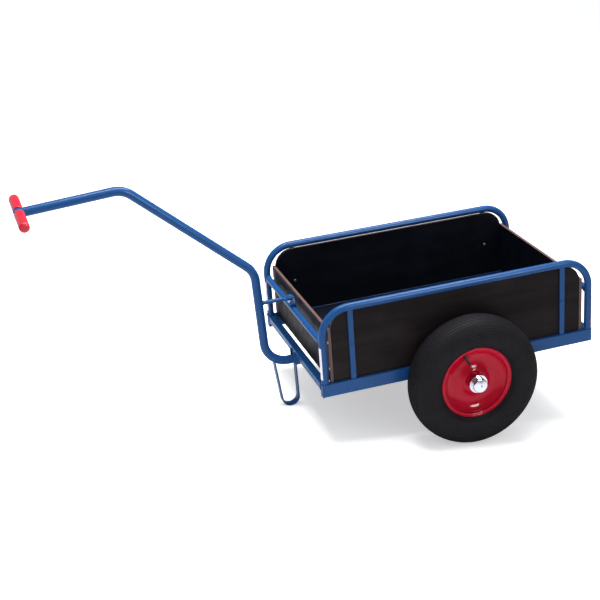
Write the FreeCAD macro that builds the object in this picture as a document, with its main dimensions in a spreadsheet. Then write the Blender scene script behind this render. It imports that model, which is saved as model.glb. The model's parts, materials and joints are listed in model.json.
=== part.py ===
"""Two-wheel hand cart: a boarded load bed on a welded tube frame, pneumatic wheels and a fixed drawbar.

Every piece is drawn in the bed frame: x runs from the front legs to the tail, y across, z up, with
z = 0 on top of the side rails.  One placement, the stance, then parks the whole cart: both tyres and
the foot of the stand touch the floor at z = 0, and the origin is the middle of its footprint.
"""
import FreeCAD, Part
import math
import os

import Sketcher
from FreeCAD import Placement, Rotation, Vector

LEFT = -1       # the side of the cart at negative y
RIGHT = 1
SIDES = ((LEFT, "left"), (RIGHT, "right"))

# Driving dimensions, in millimetres unless the name says otherwise.
DIMENSIONS = {
    # welded frame
    "bed_length": 845.0,            # between the front and rear leg tubes
    "hoop_spacing": 550.0,          # between the planes of the two side hoops
    "hoop_rise": 228.0,             # rail top to the centre of the hoop's top run
    "hoop_bend": 84.0,
    "tube_diameter": 22.0,
    "tube_wall": 2.0,
    "cross_tube_diameter": 20.0,
    "cross_tube_rise": 129.5,
    "rail_spacing": 544.0,
    "rail_height": 40.0,
    "rail_width": 20.0,
    "rail_wall": 2.0,
    "rail_overhang": 11.0,
    "rail_corner": 2.5,
    "end_rail_size": 22.0,
    "end_rail_corner": 2.0,
    "bearer_width": 30.0,
    "bearer_height": 20.0,
    "bearer_pitch": 210.0,
    "upright_width": 16.0,
    "upright_thickness": 6.0,
    "upright_inset": 87.5,
    "weld_gap": 0.2,                # left under the hoop, and filled by the weld
    "tape_length": 100.0,
    "tape_thickness": 0.6,
    "tape_wrap_degrees": 92.0,
    "front_tape_rise": 17.5,
    "rear_tape_rise": 6.0,
    # plywood box
    "board_thickness": 9.0,
    "floor_thickness": 12.0,
    "side_board_height": 216.8,
    "side_board_corner": 56.0,
    "end_board_height": 167.5,
    "end_board_inset": 18.5,        # leg centre to the outside face of the end board
    "floor_gap": 2.0,
    "board_screw_rise": 107.0,
    "screw_diameter": 5.0,
    "screw_clearance": 0.4,
    "corner_screw_diameter": 4.0,
    "corner_screw_length": 40.0,
    "floor_screw_length": 24.0,
    # drawbar, brace and stand
    "drawbar_diameter": 27.0,
    "drawbar_wall": 2.0,
    "drawbar_bend": 72.0,
    "foot_end_x": 22.0,
    "foot_drop": 36.0,              # rail top down to the centre of the drawbar's foot
    "heel_x": -98.0,
    "knee_x": -110.0,
    "knee_z": 271.6,
    "neck_x": -465.0,
    "neck_z": 589.0,
    "handle_x": -756.3,
    "handle_z": 571.5,
    "nose_length": 13.0,            # handle axis to the drawbar's cut end
    "crossbar_diameter": 22.0,
    "crossbar_length": 236.0,
    "grip_diameter": 30.0,
    "grip_length": 122.0,
    "grip_end_round": 8.0,
    "brace_diameter": 12.0,
    "brace_rise": 167.0,
    "bolt_diameter": 8.0,
    "bolt_clearance": 0.4,
    "bracket_width": 25.0,
    "bracket_thickness": 4.0,
    "cheek_thickness": 5.0,
    "stand_bar_width": 25.0,
    "stand_bar_thickness": 4.0,
    "stand_bend": 26.0,
    "stand_depth": 186.7,           # rail top down to the middle of the bar at the foot
    "stand_front_x": -75.8,         # where the front leg of the loop meets the drawbar
    "stand_front_z": -25.0,
    "stand_foot_front_x": -56.4,
    "stand_foot_rear_x": -6.0,
    "stand_rear_x": -8.8,
    # axle and wheels
    "axle_x": 434.5,
    "axle_drop": 50.0,
    "axle_diameter": 20.0,
    "axle_length": 776.0,
    "track": 674.0,
    "wheel_radius": 200.0,
    "shoulder_half_width": 36.0,
    "shoulder_radius": 192.0,
    "crown_radius": 85.0,
    "sidewall_radius": 60.4,
    "groove_depth": 3.2,
    "air_chamber_radius": 147.0,    # wheel axis to the centre of the inner tube
    "inner_tube_diameter": 72.0,
    "bead_seat_radius": 101.5,
    "flange_radius": 110.5,
    "flange_half_spacing": 30.5,
    "well_radius": 90.0,
    "well_half_width": 6.0,
    "rim_sheet": 2.0,
    "disc_sheet": 3.0,
    "boss_face": 16.0,              # wheel middle to the front of the disc, at the hub
    "boss_radius": 30.0,
    "boss_bend": 14.0,
    "bowl_radius": 42.0,
    "bowl_middle_radius": 64.5,     # wheel axis to the deepest ring of the bowl
    "bowl_slope_degrees": 35.0,     # where the boss runs into the bowl
    "hub_diameter": 46.0,
    "hub_bore": 34.0,
    "hub_half_length": 37.0,
    "roller_diameter": 6.9,
    "roller_count": 8.0,
    "hub_washer_diameter": 56.0,
    "hub_cap_diameter": 44.0,
    "valve_diameter": 9.8,
    "valve_clearance": 3.0,
    "valve_angle_degrees": 20.0,
    "valve_tip_radius": 70.0,
    "valve_tip_offset": 33.0,
}

doc = FreeCAD.newDocument("HandCart")


# ---------------------------------------------------------------- driving dimensions
class Length:
    """A number together with the spreadsheet formula that it comes from."""

    def __init__(self, value, formula):
        self.value = float(value)
        self.formula = formula

    def joined(self, other, sign, value):
        return Length(value, "(%s %s %s)" % (self.formula, sign, other.formula))

    def __add__(self, other):
        other = length(other)
        return self.joined(other, "+", self.value + other.value)

    def __radd__(self, other):
        return length(other) + self

    def __sub__(self, other):
        other = length(other)
        return self.joined(other, "-", self.value - other.value)

    def __rsub__(self, other):
        return length(other) - self

    def __mul__(self, other):
        other = length(other)
        return self.joined(other, "*", self.value * other.value)

    def __rmul__(self, other):
        return length(other) * self

    def __truediv__(self, other):
        other = length(other)
        return self.joined(other, "/", self.value / other.value)

    def __neg__(self):
        return length(0) - self


def length(item):
    """A plain number as a Length; a Length is returned as it is."""
    return item if isinstance(item, Length) else Length(item, "(%r)" % float(item))


class Sizes:
    """The driving dimensions, kept in the document's spreadsheet and read as size.NAME."""

    def __init__(self, table):
        sheet = doc.addObject("Spreadsheet::Sheet", "Sizes")
        for row, (alias, value) in enumerate(table.items(), start=1):
            sheet.set("A%d" % row, alias)
            sheet.set("B%d" % row, "%g" % value)
            sheet.setAlias("B%d" % row, alias)
            setattr(self, alias, Length(value, "Sizes." + alias))


size = Sizes(DIMENSIONS)
doc.recompute()


# ---------------------------------------------------------------- sketch and feature helpers
def bind(owner, path, value):
    """Tie a property of a document object to the spreadsheet."""
    owner.setExpression(path, length(value).formula)


def new_body(label):
    body = doc.addObject("PartDesign::Body", label)
    body.Label = label
    return body


def new_sketch(body, plane, offset=0):
    """A sketch on one of the body's origin planes, moved by offset along the plane's normal."""
    sketch = body.newObject("Sketcher::SketchObject", "Sketch")
    origin_plane = next(item for item in body.Origin.OriginFeatures if item.Role == plane)
    sketch.AttachmentSupport = (origin_plane, [""])
    sketch.MapMode = "FlatFace"
    sketch.AttachmentOffset = Placement(Vector(0, 0, length(offset).value), Rotation())
    bind(sketch, "AttachmentOffset.Base.z", offset)
    return sketch


def dimension(sketch, kind, value, *where):
    """A dimensional constraint tied to the spreadsheet."""
    index = sketch.addConstraint(Sketcher.Constraint(kind, *where, length(value).value))
    bind(sketch, "Constraints[%d]" % index, value)


def pin(sketch, element, point, across, up):
    """Hold one point of a sketch element at a place measured from the sketch's origin."""
    dimension(sketch, "DistanceX", across, -1, 1, element, point)
    dimension(sketch, "DistanceY", up, -1, 1, element, point)


def arc_between(start, end, radius):
    """The short arc from start to end; a positive radius has its centre on the left of the way."""
    chord = end - start
    rise = math.sqrt(radius ** 2 - (chord.Length / 2) ** 2)
    left = Vector(-chord.y, chord.x, 0).normalize()
    centre = (start + end) / 2 + left * math.copysign(rise, radius)
    first, last = (start, end) if radius > 0 else (end, start)
    angles = [math.atan2(point.y - centre.y, point.x - centre.x) for point in (first, last)]
    return Part.ArcOfCircle(Part.Circle(centre, Vector(0, 0, 1), abs(radius)), *angles)


def outline(sketch, corners):
    """A closed outline.  A corner is (across, up), or (across, up, radius) to leave it by an arc."""
    places = [Vector(length(corner[0]).value, length(corner[1]).value, 0) for corner in corners]
    ends = []
    for index, corner in enumerate(corners):
        start, end = places[index], places[(index + 1) % len(corners)]
        if len(corner) == 2:
            element = sketch.addGeometry(Part.LineSegment(start, end))
            ends.append((element, 1, 2))
            continue
        radius = length(corner[2])
        element = sketch.addGeometry(arc_between(start, end, radius.value))
        ends.append((element, 1, 2) if radius.value > 0 else (element, 2, 1))
        dimension(sketch, "Radius", radius if radius.value > 0 else -radius, element)
    for index, corner in enumerate(corners):
        element, start_point, _ = ends[index]
        before, _, end_point = ends[index - 1]
        sketch.addConstraint(Sketcher.Constraint("Coincident", before, end_point, element, start_point))
        pin(sketch, element, start_point, corner[0], corner[1])


def rectangle(sketch, across, up, middle_across=0, middle_up=0):
    """A closed rectangle of the given size about its middle."""
    left, right = middle_across - length(across) / 2, middle_across + length(across) / 2
    low, high = middle_up - length(up) / 2, middle_up + length(up) / 2
    outline(sketch, [(left, low), (right, low), (right, high), (left, high)])


def circle(sketch, across, up, diameter):
    place = Vector(length(across).value, length(up).value, 0)
    element = sketch.addGeometry(Part.Circle(place, Vector(0, 0, 1), length(diameter).value / 2))
    pin(sketch, element, 3, across, up)
    dimension(sketch, "Diameter", diameter, element)


def ring(sketch, across, up, diameter, wall):
    circle(sketch, across, up, diameter)
    circle(sketch, across, up, diameter - 2 * wall)


def bent_line(sketch, corners, radius):
    """An open line through the corners, with every inner corner rounded to the same radius."""
    points = [Vector(length(across).value, length(up).value, 0) for across, up in corners]
    trims = [0.0]
    for before, corner, after in zip(points, points[1:], points[2:]):
        turn = (corner - before).getAngle(after - corner)
        trims.append(radius.value * math.tan(turn / 2))
    trims.append(0.0)
    runs = []
    for index, (start, end) in enumerate(zip(points, points[1:])):
        along = Vector(end - start).normalize()
        run = Part.LineSegment(start + along * trims[index], end - along * trims[index + 1])
        runs.append(sketch.addGeometry(run))
    pin(sketch, runs[0], 1, *corners[0])
    pin(sketch, runs[-1], 2, *corners[-1])
    for index in range(1, len(points) - 1):
        incoming, outgoing = sketch.Geometry[runs[index - 1]], sketch.Geometry[runs[index]]
        before, after = incoming.EndPoint, outgoing.StartPoint
        way_in, way_out = points[index] - points[index - 1], points[index + 1] - points[index]
        turns_left = way_in.cross(way_out).z > 0
        signed = radius.value if turns_left else -radius.value
        bend = sketch.addGeometry(arc_between(before, after, signed))
        first, last = (1, 2) if turns_left else (2, 1)
        sketch.addConstraint(Sketcher.Constraint("Tangent", runs[index - 1], 2, bend, first))
        sketch.addConstraint(Sketcher.Constraint("Tangent", bend, last, runs[index], 1))
        dimension(sketch, "Radius", radius, bend)
        corner = sketch.addGeometry(Part.Point(points[index]), True)
        pin(sketch, corner, 1, *corners[index])
        for run in (runs[index - 1], runs[index]):
            sketch.addConstraint(Sketcher.Constraint("PointOnObject", corner, 1, run))


def must_remove(feature):
    """Stop the build when a cutting feature has taken nothing off its body."""
    doc.recompute()
    if feature.Shape.Volume > feature.BaseFeature.Shape.Volume - 0.01:
        raise RuntimeError("%s removes nothing" % feature.Label)
    return feature


def pad(body, sketch, thickness):
    """Raise a sketch by half the thickness on each side of its plane."""
    feature = body.newObject("PartDesign::Pad", "Pad")
    feature.Profile = sketch
    feature.SideType = "Symmetric"
    feature.Length = length(thickness).value
    bind(feature, "Length", thickness)
    return feature


def pocket(body, sketch, depth=1000):
    """Cut a sketch away by half the depth on each side of its plane."""
    feature = body.newObject("PartDesign::Pocket", "Pocket")
    feature.Profile = sketch
    feature.SideType = "Symmetric"
    feature.Length = length(depth).value
    bind(feature, "Length", depth)
    return must_remove(feature)


def round_edges(body, radius, wanted):
    """Fillet the edges of the body's newest feature for which wanted(edge) is true."""
    doc.recompute()
    base = body.Tip
    names = ["Edge%d" % number for number, edge in enumerate(base.Shape.Edges, start=1) if wanted(edge)]
    fillet = body.newObject("PartDesign::Fillet", "Fillet")
    fillet.Base = (base, names)
    fillet.Radius = length(radius).value
    bind(fillet, "Radius", radius)
    return fillet


def dome_radius(rim, rise):
    """The radius of the sphere that makes a dome of this rim radius and rise, its pole on the axis."""
    return (rim * rim + rise * rise) / (2 * rise)


def turned(label, corners):
    """A lathe piece about its own y axis; the outline's corners are (along the axis, radius)."""
    body = new_body(label)
    sketch = new_sketch(body, "YZ_Plane")
    outline(sketch, corners)
    revolution = body.newObject("PartDesign::Revolution", "Revolution")
    revolution.Profile = sketch
    revolution.ReferenceAxis = (sketch, ["H_Axis"])
    revolution.Angle = 360
    return body


def plate(label, corners, thickness, holes=()):
    """A flat piece drawn from the side and centred on y = 0; a hole is (x, z, diameter)."""
    body = new_body(label)
    sketch = new_sketch(body, "XZ_Plane")
    outline(sketch, corners)
    for across, up, diameter in holes:
        circle(sketch, across, up, diameter)
    pad(body, sketch, thickness)
    return body


def box_tube(label, plane, across, up, wall, corner, run):
    """A rectangular hollow section centred on the origin, running along the plane's normal."""
    body = new_body(label)
    sketch = new_sketch(body, plane)
    rectangle(sketch, across, up)
    rectangle(sketch, across - 2 * wall, up - 2 * wall)
    pad(body, sketch, run)
    half = (across.value / 2, up.value / 2)

    def is_outer_corner(edge):
        middle = edge.BoundBox.Center
        side = middle.y if plane == "YZ_Plane" else middle.x
        return abs(abs(side) - half[0]) < 1e-6 and abs(abs(middle.z) - half[1]) < 1e-6

    round_edges(body, corner, is_outer_corner)
    return body


def cut(label, base, tool):
    feature = doc.addObject("Part::Cut", label)
    feature.Base = base
    feature.Tool = tool
    return feature


def copies(label, master, places):
    """One node made of separate copies of the master piece."""
    links = []
    for place in places:
        link = doc.addObject("App::Link", label + "_copy")
        link.LinkedObject = master
        link.Placement = place
        links.append(link)
    group = doc.addObject("Part::Compound", label)
    group.Links = links
    return group


def nut(label, flats, thickness, bore):
    """A hexagon nut about its own y axis, centred on the origin."""
    body = new_body(label)
    sketch = new_sketch(body, "XZ_Plane")
    reach = flats / math.sqrt(3)
    corners = []
    for index in range(6):
        angle = math.radians(60 * index)
        corners.append((reach * math.cos(angle), reach * math.sin(angle)))
    outline(sketch, corners)
    circle(sketch, 0, 0, bore)
    pad(body, sketch, thickness)
    return body


def at(x=0, y=0, z=0, turn=None):
    """A place in the bed frame, from numbers or Lengths."""
    return Placement(Vector(length(x).value, length(y).value, length(z).value), turn or Rotation())


def along(x, y, z):
    """The turn that points a lathe piece's own y axis along a direction."""
    return Rotation(Vector(0, 1, 0), Vector(x, y, z))


nodes = []      # (node name, document object, place in the bed frame)


def node(name, feature, place=None):
    """Hand a finished piece over as a named node, at its place in the bed frame."""
    feature.Label = name
    nodes.append((name, feature, place or Placement()))
    return feature


# ---------------------------------------------------------------- welded frame
def side_rails():
    plate_thickness = size.rail_wall
    run = size.bed_length + 2 * size.rail_overhang - 2 * plate_thickness
    for side, name in SIDES:
        rail = box_tube("side_rail_" + name, "YZ_Plane", size.rail_width, size.rail_height,
                        size.rail_wall, size.rail_corner, run)
        node("side_rail_" + name, rail,
             at(size.bed_length / 2, side * size.rail_spacing / 2, -size.rail_height / 2))
    cap = new_body("rail_end_plate")
    sketch = new_sketch(cap, "YZ_Plane")
    rectangle(sketch, size.rail_width, size.rail_height)
    pad(cap, sketch, plate_thickness)
    places = []
    for end in (-1, 1):
        for side, _ in SIDES:
            middle = size.bed_length / 2 + end * (run / 2 + plate_thickness / 2)
            places.append(at(middle, side * size.rail_spacing / 2, -size.rail_height / 2))
    node("rail_end_plates", copies("rail_end_plates", cap, places))


def cross_members():
    run = size.rail_spacing - size.rail_width
    for name, x in (("front_rail", length(0)), ("rear_rail", size.bed_length)):
        rail = box_tube(name, "XZ_Plane", size.end_rail_size, size.end_rail_size,
                        size.tube_wall, size.end_rail_corner, run)
        node(name, rail, at(x, 0, -size.end_rail_size / 2))
    bearer = box_tube("floor_bearer", "XZ_Plane", size.bearer_width, size.bearer_height,
                      size.tube_wall, size.end_rail_corner, run)
    top_wall = new_sketch(bearer, "XY_Plane", size.bearer_height / 2)
    for side, _ in SIDES:
        circle(top_wall, 0, side * size.rail_spacing / 4, size.screw_diameter)
    pocket(bearer, top_wall, size.bearer_height)
    depth = -size.floor_thickness - size.bearer_height / 2
    places = [at(size.axle_x + step * size.bearer_pitch, 0, depth) for step in (-1, 0, 1)]
    node("floor_bearers", copies("floor_bearers", bearer, places))


def hoops():
    corners = [(0, 0), (0, size.hoop_rise), (size.bed_length, size.hoop_rise), (size.bed_length, 0)]
    for side, name in SIDES:
        body = new_body("side_hoop_" + name)
        spine = new_sketch(body, "XZ_Plane")
        bent_line(spine, corners, size.hoop_bend)
        profile = new_sketch(body, "XY_Plane")
        ring(profile, 0, 0, size.tube_diameter, size.tube_wall)
        pipe = body.newObject("PartDesign::AdditivePipe", "Pipe")
        pipe.Profile = (profile, [""])
        pipe.Spine = (spine, [""])
        node("side_hoop_" + name, body, at(0, side * size.hoop_spacing / 2, 0))


def uprights():
    half = size.upright_width / 2
    top = size.hoop_rise - size.tube_diameter / 2 - size.weld_gap
    hole = (0, size.board_screw_rise, size.screw_diameter + size.screw_clearance)
    bar = plate("upright", [(-half, 0), (half, 0), (half, top), (-half, top)],
                size.upright_thickness, [hole])
    places = []
    for side, _ in SIDES:
        for x in (size.upright_inset, size.bed_length - size.upright_inset):
            places.append(at(x, side * size.hoop_spacing / 2, 0))
    node("uprights", copies("uprights", bar, places))


def cross_tubes():
    """Tubes between the legs, with their ends coped round the leg tubes."""
    for name, x in (("front_cross_tube", length(0)), ("rear_cross_tube", size.bed_length)):
        body = new_body(name)
        sketch = new_sketch(body, "XZ_Plane")
        ring(sketch, 0, 0, size.cross_tube_diameter, size.tube_wall)
        pad(body, sketch, size.hoop_spacing)
        cope = new_sketch(body, "XY_Plane")
        for side, _ in SIDES:
            circle(cope, 0, side * size.hoop_spacing / 2, size.tube_diameter)
        pocket(body, cope)
        node(name, body, at(x, 0, size.cross_tube_rise))


def reflector_tapes():
    """Strips of reflective tape wrapped round the outer half of each leg, one colour per end."""
    ends = (("white_reflectors", length(0), size.front_tape_rise, 180),
            ("red_reflectors", size.bed_length, size.rear_tape_rise, 0))
    for name, x, rise, facing in ends:
        outer = doc.addObject("Part::Cylinder", name + "_outer")
        bind(outer, "Radius", size.tube_diameter / 2 + size.tape_thickness)
        bind(outer, "Height", size.tape_length)
        bind(outer, "Angle", size.tape_wrap_degrees)
        leg = doc.addObject("Part::Cylinder", name + "_leg")
        bind(leg, "Radius", size.tube_diameter / 2)
        bind(leg, "Height", size.tape_length)
        strip = cut(name + "_strip", outer, leg)
        turn = Rotation(Vector(0, 0, 1), facing - size.tape_wrap_degrees.value / 2)
        places = [at(x, side * size.hoop_spacing / 2, rise, turn) for side, _ in SIDES]
        node(name, copies(name, strip, places))


# ---------------------------------------------------------------- plywood box
def corner_screws(label):
    """Countersunk screws through the end boards into the edges of the side boards."""
    radius = size.corner_screw_diameter / 2
    master = turned(label + "_master", [(0, 0), (0, 2 * radius), (radius, radius),
                                        (size.corner_screw_length, radius), (size.corner_screw_length, 0)])
    places = []
    beside = size.rail_spacing / 2 - size.board_thickness / 2
    for side, _ in SIDES:
        for rise in (size.end_board_height / 4, size.end_board_height * 3 / 4):
            places.append(at(size.end_board_inset, side * beside, rise, along(1, 0, 0)))
            places.append(at(size.bed_length - size.end_board_inset, side * beside, rise,
                             along(-1, 0, 0)))
    return copies(label, master, places)


def floor_screws(label):
    """Countersunk screws through the floor board into the bearers."""
    radius = size.screw_diameter / 2
    master = turned(label + "_master", [(0, 0), (0, 2 * radius), (radius, radius),
                                        (size.floor_screw_length, radius), (size.floor_screw_length, 0)])
    places = []
    for step in (-1, 0, 1):
        for side, _ in SIDES:
            places.append(at(size.axle_x + step * size.bearer_pitch, side * size.rail_spacing / 4, 0,
                             along(0, 0, -1)))
    return copies(label, master, places)


def boards():
    """The plywood box.  Cutters stay in the bed frame, so they are not the screws that are nodes."""
    cutters = corner_screws("corner_screw_cutters")
    inside = size.end_board_inset + size.board_thickness
    hole_size = size.screw_diameter + size.screw_clearance
    holes = [(size.upright_inset, size.board_screw_rise, hole_size),
             (size.bed_length - size.upright_inset, size.board_screw_rise, hole_size)]
    for side, name in SIDES:
        board = plate("side_board_blank_" + name,
                      [(inside, 0), (size.bed_length - inside, 0),
                       (size.bed_length - inside, size.side_board_height),
                       (inside, size.side_board_height)],
                      size.board_thickness, holes)

        def is_top_corner(edge):
            box = edge.BoundBox
            return box.ZMin > size.side_board_height.value - 1e-6 and box.XLength < 1e-6

        round_edges(board, size.side_board_corner, is_top_corner)
        board.Placement = at(0, side * (size.rail_spacing - size.board_thickness) / 2, 0)
        node("side_board_" + name, cut("side_board_" + name, board, cutters))
    for name, x in (("front_board", size.end_board_inset + size.board_thickness / 2),
                    ("rear_board", size.bed_length - size.end_board_inset - size.board_thickness / 2)):
        blank = new_body(name + "_blank")
        sketch = new_sketch(blank, "YZ_Plane")
        rectangle(sketch, size.rail_spacing, size.end_board_height, 0, size.end_board_height / 2)
        pad(blank, sketch, size.board_thickness)
        blank.Placement = at(x, 0, 0)
        node(name, cut(name, blank, cutters))
    node("corner_screws", corner_screws("corner_screws"))

    floor_blank = new_body("floor_blank")
    sketch = new_sketch(floor_blank, "XY_Plane")
    rectangle(sketch, size.bed_length - 2 * (inside + size.floor_gap),
              size.rail_spacing - size.rail_width - 2 * size.floor_gap)
    pad(floor_blank, sketch, size.floor_thickness)
    floor_blank.Placement = at(size.bed_length / 2, 0, -size.floor_thickness / 2)
    node("floor_board", cut("floor_board", floor_blank, floor_screws("floor_screw_cutters")))
    node("floor_screws", floor_screws("floor_screws"))


def board_fixings():
    """A dome-headed bolt through each upright and side board, with a nut inside the box."""
    radius = size.screw_diameter / 2
    head_height = length(3)
    nut_height = length(4)
    nut_flats = length(8)
    shank = size.upright_thickness + size.board_thickness + nut_height + 2
    bolt = turned("board_bolt", [(-head_height, 0, -dome_radius(2 * radius, head_height)),
                                 (0, 2 * radius), (0, radius), (shank, radius), (shank, 0)])
    inner_nut = nut("board_nut", nut_flats, nut_height, size.screw_diameter)
    bolts, nuts = [], []
    for side, _ in SIDES:
        head_face = side * (size.hoop_spacing + size.upright_thickness) / 2
        nut_middle = side * (size.rail_spacing / 2 - size.board_thickness - nut_height / 2)
        for x in (size.upright_inset, size.bed_length - size.upright_inset):
            bolts.append(at(x, head_face, size.board_screw_rise, along(0, -side, 0)))
            nuts.append(at(x, nut_middle, size.board_screw_rise))
    node("board_bolts", copies("board_bolts", bolt, bolts))
    node("board_nuts", copies("board_nuts", inner_nut, nuts))


# ---------------------------------------------------------------- drawbar
def drawbar_corners():
    slope = (size.neck_z - size.handle_z) / (size.neck_x - size.handle_x)
    return [(size.foot_end_x, -size.foot_drop),
            (size.heel_x, -size.foot_drop),
            (size.knee_x, size.knee_z),
            (size.neck_x, size.neck_z),
            (size.handle_x - size.nose_length, size.handle_z - size.nose_length * slope)]


def drawbar_pipe(label, hollow):
    body = new_body(label)
    spine = new_sketch(body, "XZ_Plane")
    bent_line(spine, drawbar_corners(), size.drawbar_bend)
    profile = new_sketch(body, "YZ_Plane", size.foot_end_x)
    circle(profile, 0, -size.foot_drop, size.drawbar_diameter)
    if hollow:
        circle(profile, 0, -size.foot_drop, size.drawbar_diameter - 2 * size.drawbar_wall)
    pipe = body.newObject("PartDesign::AdditivePipe", "Pipe")
    pipe.Profile = (profile, [""])
    pipe.Spine = (spine, [""])
    return body


def drawbar():
    body = drawbar_pipe("drawbar_tube", True)
    holes = new_sketch(body, "XZ_Plane")
    circle(holes, 0, -size.foot_drop, size.bolt_diameter + size.bolt_clearance)
    circle(holes, size.handle_x, size.handle_z, size.crossbar_diameter)
    pocket(body, holes)
    node("drawbar_tube", body)

    rise = size.neck_z.value - size.handle_z.value
    run = size.neck_x.value - size.handle_x.value
    end_x, end_z = drawbar_corners()[-1]
    radius = size.drawbar_diameter / 2
    spigot = radius - size.drawbar_wall
    spigot_length = 2
    edge = 1.2
    face = 1.5
    cap = turned("drawbar_end_cap", [(-spigot_length, 0), (-spigot_length, spigot), (0, spigot), (0, radius),
                                     (face - edge, radius, -edge), (face, radius - edge), (face, 0)])
    node("drawbar_end_cap", cap, at(end_x, 0, end_z, along(-run, 0, -rise)))


def handle():
    crossbar = new_body("handle_crossbar")
    sketch = new_sketch(crossbar, "XZ_Plane")
    ring(sketch, 0, 0, size.crossbar_diameter, size.tube_wall)
    pad(crossbar, sketch, size.crossbar_length)
    node("handle_crossbar", crossbar, at(size.handle_x, 0, size.handle_z))
    start = size.drawbar_diameter / 2 + 0.5
    lip = 1.5
    bore = size.crossbar_diameter / 2
    depth = size.crossbar_length / 2 - start + 0.5
    radius = size.grip_diameter / 2
    for side, name in SIDES:
        grip = turned("grip_" + name,
                      [(0, bore), (0, radius - lip), (lip, radius),
                       (size.grip_length - size.grip_end_round, radius, -size.grip_end_round),
                       (size.grip_length, radius - size.grip_end_round),
                       (size.grip_length, 0), (depth, 0), (depth, bore)])
        node("grip_" + name, grip, at(size.handle_x, side * start, size.handle_z, along(0, side, 0)))


def drawbar_foot_joint():
    """Two notched cheeks welded round the front rail, with a bolt through them and the drawbar."""
    front = -size.end_rail_size / 2
    below = -size.end_rail_size
    low = -size.foot_drop - 14
    corners = [(front - 5, -8), (front, -8), (front, below), (15, below),
               (15, low + 6), (9, low), (front + 1, low), (front - 5, low + 6)]
    hole = (0, -size.foot_drop, size.bolt_diameter + size.bolt_clearance)
    inner = size.drawbar_diameter / 2 + 0.5
    cheek = plate("drawbar_cheek", corners, size.cheek_thickness, [hole])
    places = [at(0, side * (inner + size.cheek_thickness / 2), 0) for side, _ in SIDES]
    node("drawbar_cheeks", copies("drawbar_cheeks", cheek, places))
    grip_length = 2 * (inner + size.cheek_thickness)
    radius = size.bolt_diameter / 2
    bolt = turned("drawbar_bolt", [(-5, 0), (-5, 4), (-3.5, 6.5), (0, 7), (0, radius),
                                   (grip_length + 10, radius), (grip_length + 10, 0)])
    node("drawbar_bolt", bolt, at(0, -grip_length / 2, -size.foot_drop, along(0, 1, 0)))
    fixing = nut("drawbar_nut", length(13), length(6.5), size.bolt_diameter)
    node("drawbar_nut", fixing, at(0, grip_length / 2 + 3.25, -size.foot_drop))


def brace():
    """A rod from the drawbar to a bracket on the front cross tube, flattened where it is bolted."""
    bolt_x = -8
    tongue_low, tongue_high = size.brace_rise - 5, size.brace_rise + 1
    rod_end = -30
    body = new_body("brace_blank")
    sketch = new_sketch(body, "YZ_Plane", rod_end)
    circle(sketch, 0, size.brace_rise, size.brace_diameter)
    rod = body.newObject("PartDesign::Pad", "Pad")
    rod.Profile = sketch
    rod.Reversed = True
    rod.Length = 75
    bind(rod, "Length", rod_end - size.knee_x)
    shoulder = new_sketch(body, "YZ_Plane", rod_end)
    circle(shoulder, 0, size.brace_rise, size.brace_diameter)
    tongue_start = new_sketch(body, "YZ_Plane", rod_end + 10)
    tongue_width = size.brace_diameter * 1.4
    outline(tongue_start, [(-tongue_width / 2, tongue_low), (tongue_width / 2, tongue_low),
                           (tongue_width / 2, tongue_high), (-tongue_width / 2, tongue_high)])
    taper = body.newObject("PartDesign::AdditiveLoft", "Loft")
    taper.Profile = (shoulder, [""])
    taper.Sections = [(tongue_start, [""])]
    tongue = body.newObject("PartDesign::Pad", "Tongue")
    tongue.Profile = tongue_start
    tongue.Length = 17
    hole = new_sketch(body, "XY_Plane")
    circle(hole, bolt_x, 0, size.bolt_diameter + size.bolt_clearance)
    pocket(body, hole)
    solid_drawbar = drawbar_pipe("drawbar_core", False)
    node("brace_rod", cut("brace_rod", body, solid_drawbar))

    thickness = size.bracket_thickness
    under, top = tongue_high, tongue_high + thickness
    back = 8
    foot = size.cross_tube_rise + 4
    blank = plate("bracket_blank",
                  [(back - thickness, foot), (back, foot), (back, top - 10, 10), (back - 10, top),
                   (bolt_x - 8, top), (bolt_x - 8, under), (back - 10, under, -6),
                   (back - thickness, under - 6)],
                  size.bracket_width)
    hole = new_sketch(blank, "XY_Plane")
    circle(hole, bolt_x, 0, size.bolt_diameter + size.bolt_clearance)
    pocket(blank, hole)
    tube = doc.addObject("Part::Cylinder", "bracket_seat")
    bind(tube, "Radius", size.cross_tube_diameter / 2)
    bind(tube, "Height", 2 * size.bracket_width)
    tube.Placement = at(0, size.bracket_width, size.cross_tube_rise, Rotation(Vector(1, 0, 0), 90))
    node("brace_bracket", cut("brace_bracket", blank, tube))

    radius = size.bolt_diameter / 2
    drop = top - tongue_low
    bolt = turned("brace_bolt", [(-4, 0), (-4, 4.5), (-2.5, 6.5), (0, 7), (0, radius),
                                 (drop + 13, radius), (drop + 13, 0)])
    node("brace_bolt", bolt, at(bolt_x, 0, top, along(0, 0, -1)))
    washer = turned("brace_washer", [(0, radius), (0, 8), (1.6, 8), (1.6, radius)])
    node("brace_washer", washer, at(bolt_x, 0, tongue_low, along(0, 0, -1)))
    fixing = nut("brace_nut", length(13), length(6.5), size.bolt_diameter)
    node("brace_nut", fixing, at(bolt_x, 0, tongue_low - 1.6 - 3.25, along(0, 0, 1)))
    return solid_drawbar


def stand_corners():
    return [(size.stand_front_x, size.stand_front_z),
            (size.stand_foot_front_x, -size.stand_depth),
            (size.stand_foot_rear_x, -size.stand_depth),
            (size.stand_rear_x, -size.foot_drop)]


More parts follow.
